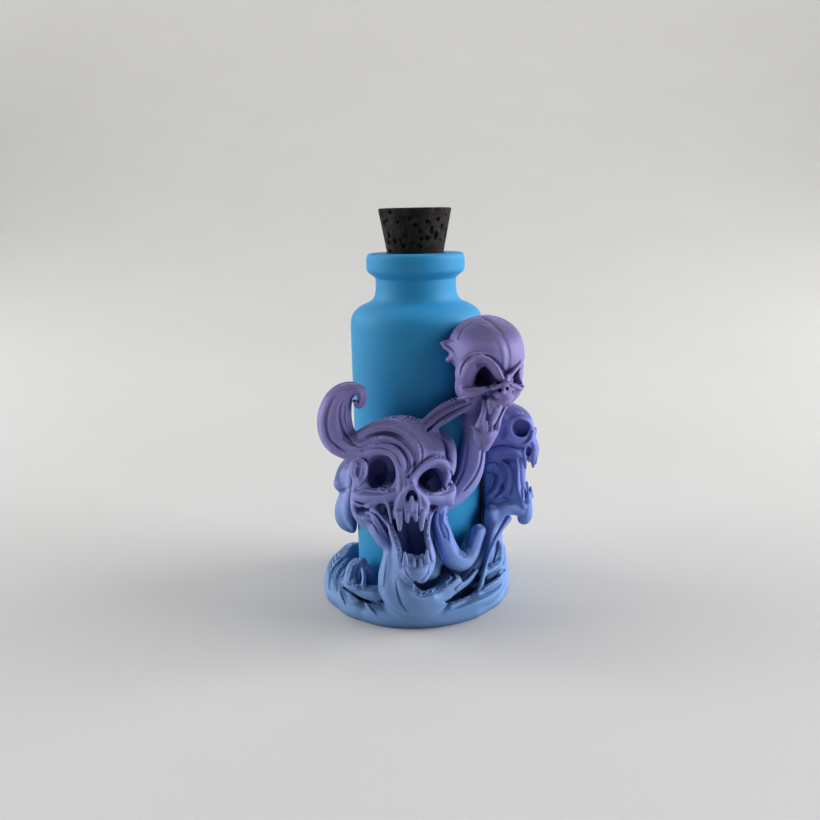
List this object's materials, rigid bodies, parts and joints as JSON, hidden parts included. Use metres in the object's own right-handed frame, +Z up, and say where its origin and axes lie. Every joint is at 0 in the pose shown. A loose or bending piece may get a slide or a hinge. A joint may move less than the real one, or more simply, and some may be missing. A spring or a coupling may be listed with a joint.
{
  "type": "corked bottle in a sculpted surround",
  "caption": "Cylindrical corked bottle standing in a sculpted surround of skulls and flowing tendrils on a round plinth; the bottle lifts out and the cork pulls out.",
  "frame": {"origin": "on the bottle's axis, at the flat face that the plinth stands on", "axes": "+Z up along the bottle's axis, -Y towards the front skull, +X to the right seen from the front"},
  "size_m": [0.0675, 0.0694, 0.12],
  "materials": {
    "bottle": "matte, fine horizontal print layers",
    "cork": "dark pitted agglomerated cork",
    "surround_low": "matte, periwinkle blue",
    "surround_high": "matte, violet"
  },
  "bodies": {
    "surround": {"plinth": "surround_low", "front_skull": "surround_high", "front_jaw": "surround_low", "front_throat": "surround_low", "front_horn": "surround_high", "front_drip": "surround_low", "upper_skull": "surround_high", "upper_jaw": "surround_high", "upper_tail": "surround_high", "upper_tendril": "surround_high", "right_skull": "surround_high", "right_jaw": "surround_low", "right_neck": "surround_low", "right_stem": "surround_low", "right_drip": "surround_low", "left_skull": "surround_low", "left_jaw": "surround_low", "left_neck": "surround_low", "left_wave": "surround_low", "left_rock": "surround_low", "rear_tail": "surround_high", "right_wave": "surround_low"},
    "bottle": {"bottle": "bottle"},
    "cork": {"cork_stopper": "cork"}
  },
  "joints": [
    {"name": "bottle_lift", "type": "slide", "parent": "surround", "child": "bottle", "axis": [0, 0, 1], "range_m": [0, 0.1]},
    {"name": "cork_pull", "type": "slide", "parent": "bottle", "child": "cork", "axis": [0, 0, 1], "range_m": [0, 0.03]}
  ]
}
